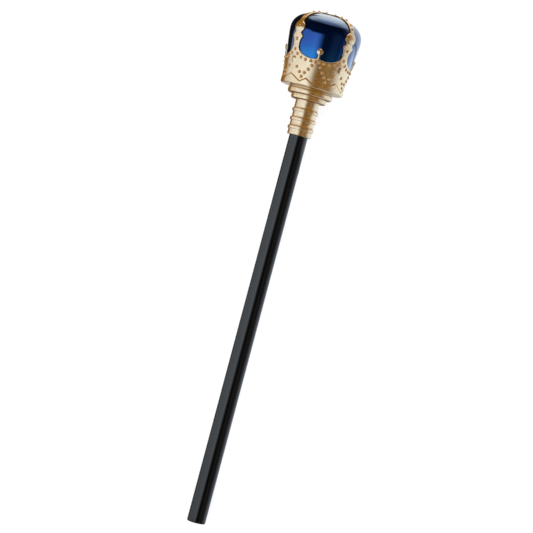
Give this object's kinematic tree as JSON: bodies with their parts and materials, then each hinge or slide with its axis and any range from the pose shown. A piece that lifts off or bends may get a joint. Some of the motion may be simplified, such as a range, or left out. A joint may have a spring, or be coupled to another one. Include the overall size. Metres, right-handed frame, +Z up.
{
  "type": "sceptre",
  "caption": "Costume king's sceptre lying down: black rod, gold ringed neck, and a gold openwork crown over a blue domed cap.",
  "frame": {"origin": "centre of the underside of the bounding box, on the surface that the sceptre lies on", "axes": "+Y along the sceptre's length towards its crown, +Z up, +X to the right seen from above with the crown away; the rod rises 3.06 degrees towards the crown"},
  "size_m": [0.0688, 0.4987, 0.0686],
  "materials": {
    "rod_black": "smooth glossy black plastic",
    "neck_gold": "satin pale gold metallised coating on moulded plastic",
    "crown_gold": "satin pale gold metallised coating on moulded plastic",
    "cap_blue": "deep blue, mirror glossy"
  },
  "bodies": {
    "root": {"rod": "rod_black", "neck": "neck_gold", "crown": "crown_gold", "cap": "cap_blue"}
  },
  "joints": []
}
